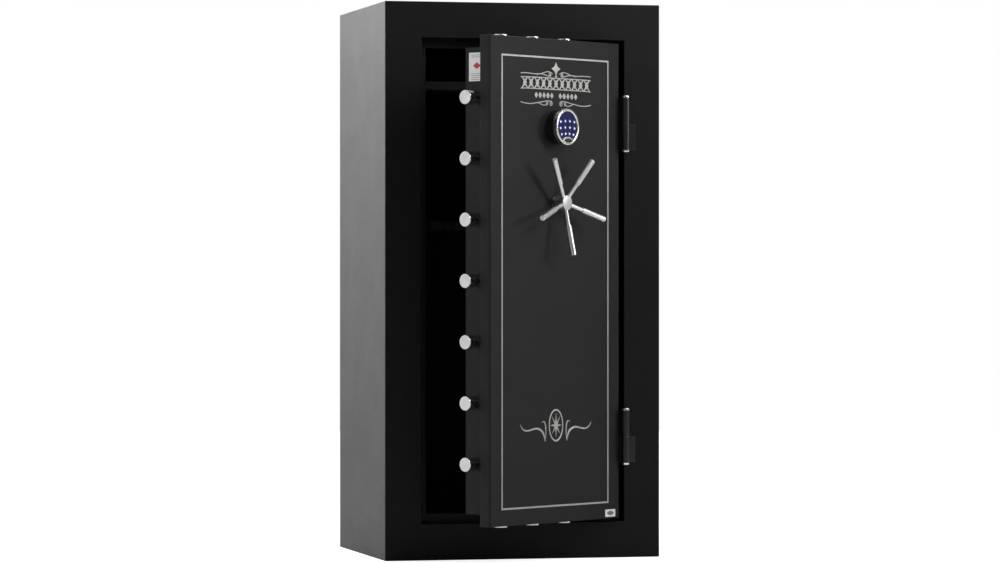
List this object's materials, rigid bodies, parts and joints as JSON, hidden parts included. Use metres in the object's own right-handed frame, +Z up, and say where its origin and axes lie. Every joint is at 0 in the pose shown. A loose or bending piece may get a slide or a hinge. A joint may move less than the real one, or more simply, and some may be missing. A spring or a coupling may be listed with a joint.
{
  "type": "gun safe",
  "caption": "Tall steel gun safe with a recessed door on two outside hinges, round locking bolts, a keypad, a spoked handle and carpeted shelves.",
  "frame": {"origin": "on the floor, under the middle of the cabinet (the door is not counted)", "axes": "+Z up, the front of the cabinet faces -Y, and the door is hinged on the +X side"},
  "size_m": [0.762, 0.948, 1.499],
  "materials": {
    "cabinet_paint": "black textured powder coat",
    "door_paint": "charcoal textured powder coat",
    "chrome_plate": "bright chrome plate, brushed lightly on the end faces",
    "black_steel": "satin black",
    "bare_steel": "machined steel",
    "zinc_steel": "zinc plated",
    "bushing_brass": "machined brass",
    "black_plastic": "gloss black",
    "keypad_blue": "dark blue, lit from behind",
    "key_white": "translucent, lit from behind",
    "seal_rubber": "matte",
    "fireboard": "gypsum board, unpainted",
    "carpet": "short pile carpet, charcoal",
    "carpeted_board": "board wrapped in charcoal carpet"
  },
  "bodies": {
    "cabinet": {"barrel_rail": "carpeted_board", "cabinet_shell": "cabinet_paint", "fireboard_back": "fireboard", "fireboard_floor": "fireboard", "fireboard_left": "fireboard", "fireboard_right": "fireboard", "fireboard_top": "fireboard", "front_frame": "cabinet_paint", "hinge_cabinet_knuckle_lower": "black_steel", "hinge_cabinet_knuckle_upper": "black_steel", "hinge_pin_lower": "chrome_plate", "hinge_pin_upper": "chrome_plate", "liner_back": "carpet", "liner_floor": "carpet", "liner_left": "carpet", "liner_right": "carpet", "liner_top": "carpet", "shelf_clips": "zinc_steel", "shelf_lower": "carpeted_board", "shelf_standards": "zinc_steel", "shelf_upper": "carpeted_board"},
    "door": {"bar_guides": "zinc_steel", "bolt_box": "door_paint", "door_back_panel": "carpeted_board", "door_fireboard": "fireboard", "door_inner_plate": "bare_steel", "door_seal": "seal_rubber", "door_skin": "door_paint", "handle_rosette": "black_steel", "hinge_door_leaf_lower": "black_steel", "hinge_door_leaf_upper": "black_steel", "keypad_bezel": "chrome_plate", "keypad_face": "keypad_blue", "keypad_housing": "black_plastic", "lock_case": "zinc_steel", "panel_screws": "black_steel", "shaft_bushing": "bushing_brass"},
    "handle": {"handle_shaft": "bare_steel", "handle_hub": "chrome_plate", "handle_spokes": "chrome_plate", "drive_pinion": "bare_steel"},
    "side_boltwork": {"side_bolts": "chrome_plate", "side_bolt_bar": "zinc_steel"},
    "top_boltwork": {"top_bolts": "chrome_plate", "top_bolt_bar": "zinc_steel"},
    "bottom_boltwork": {"bottom_bolts": "chrome_plate", "bottom_bolt_bar": "zinc_steel"},
    "lock_bolt": {"lock_bolt": "bushing_brass"},
    "key_01": {"key_01": "key_white"},
    "key_02": {"key_02": "key_white"},
    "key_03": {"key_03": "key_white"},
    "key_04": {"key_04": "key_white"},
    "key_05": {"key_05": "key_white"},
    "key_06": {"key_06": "key_white"},
    "key_07": {"key_07": "key_white"},
    "key_08": {"key_08": "key_white"},
    "key_09": {"key_09": "key_white"},
    "key_10": {"key_10": "key_white"},
    "key_11": {"key_11": "key_white"},
    "key_12": {"key_12": "key_white"}
  },
  "joints": [
    {"name": "door_hinge", "type": "hinge", "parent": "cabinet", "child": "door", "pos_m": [0.281, -0.322, 0.7495], "axis": [0, 0, 1], "range_deg": [-37, 143]},
    {"name": "handle_turn", "type": "hinge", "parent": "door", "child": "handle", "pos_m": [0.04635, -0.47753, 0.957], "axis": [-0.6018, 0.7986, 0], "range_deg": [0, 90]},
    {"name": "side_bolts_slide", "type": "slide", "parent": "door", "child": "side_boltwork", "axis": [0.7986, 0.6018, 0], "range_m": [0, 0.0451]},
    {"name": "top_bolts_slide", "type": "slide", "parent": "door", "child": "top_boltwork", "axis": [0, 0, -1], "range_m": [0, 0.0451]},
    {"name": "bottom_bolts_slide", "type": "slide", "parent": "door", "child": "bottom_boltwork", "axis": [0, 0, 1], "range_m": [0, 0.0451]},
    {"name": "lock_bolt_slide", "type": "slide", "parent": "door", "child": "lock_bolt", "axis": [0, 0, 1], "range_m": [-0.0095, 0]},
    {"name": "key_01_press", "type": "slide", "parent": "door", "child": "key_01", "axis": [-0.6018, 0.7986, 0], "range_m": [0, 0.0008], "stiffness_N_per_m": 600},
    {"name": "key_02_press", "type": "slide", "parent": "door", "child": "key_02", "axis": [-0.6018, 0.7986, 0], "range_m": [0, 0.0008], "stiffness_N_per_m": 600},
    {"name": "key_03_press", "type": "slide", "parent": "door", "child": "key_03", "axis": [-0.6018, 0.7986, 0], "range_m": [0, 0.0008], "stiffness_N_per_m": 600},
    {"name": "key_04_press", "type": "slide", "parent": "door", "child": "key_04", "axis": [-0.6018, 0.7986, 0], "range_m": [0, 0.0008], "stiffness_N_per_m": 600},
    {"name": "key_05_press", "type": "slide", "parent": "door", "child": "key_05", "axis": [-0.6018, 0.7986, 0], "range_m": [0, 0.0008], "stiffness_N_per_m": 600},
    {"name": "key_06_press", "type": "slide", "parent": "door", "child": "key_06", "axis": [-0.6018, 0.7986, 0], "range_m": [0, 0.0008], "stiffness_N_per_m": 600},
    {"name": "key_07_press", "type": "slide", "parent": "door", "child": "key_07", "axis": [-0.6018, 0.7986, 0], "range_m": [0, 0.0008], "stiffness_N_per_m": 600},
    {"name": "key_08_press", "type": "slide", "parent": "door", "child": "key_08", "axis": [-0.6018, 0.7986, 0], "range_m": [0, 0.0008], "stiffness_N_per_m": 600},
    {"name": "key_09_press", "type": "slide", "parent": "door", "child": "key_09", "axis": [-0.6018, 0.7986, 0], "range_m": [0, 0.0008], "stiffness_N_per_m": 600},
    {"name": "key_10_press", "type": "slide", "parent": "door", "child": "key_10", "axis": [-0.6018, 0.7986, 0], "range_m": [0, 0.0008], "stiffness_N_per_m": 600},
    {"name": "key_11_press", "type": "slide", "parent": "door", "child": "key_11", "axis": [-0.6018, 0.7986, 0], "range_m": [0, 0.0008], "stiffness_N_per_m": 600},
    {"name": "key_12_press", "type": "slide", "parent": "door", "child": "key_12", "axis": [-0.6018, 0.7986, 0], "range_m": [0, 0.0008], "stiffness_N_per_m": 600}
  ],
  "couplings": [
    {"joint": "side_bolts_slide", "follows": "handle_turn", "m_per_rad": 0.028648},
    {"joint": "top_bolts_slide", "follows": "handle_turn", "m_per_rad": 0.028648},
    {"joint": "bottom_bolts_slide", "follows": "handle_turn", "m_per_rad": 0.028648}
  ]
}
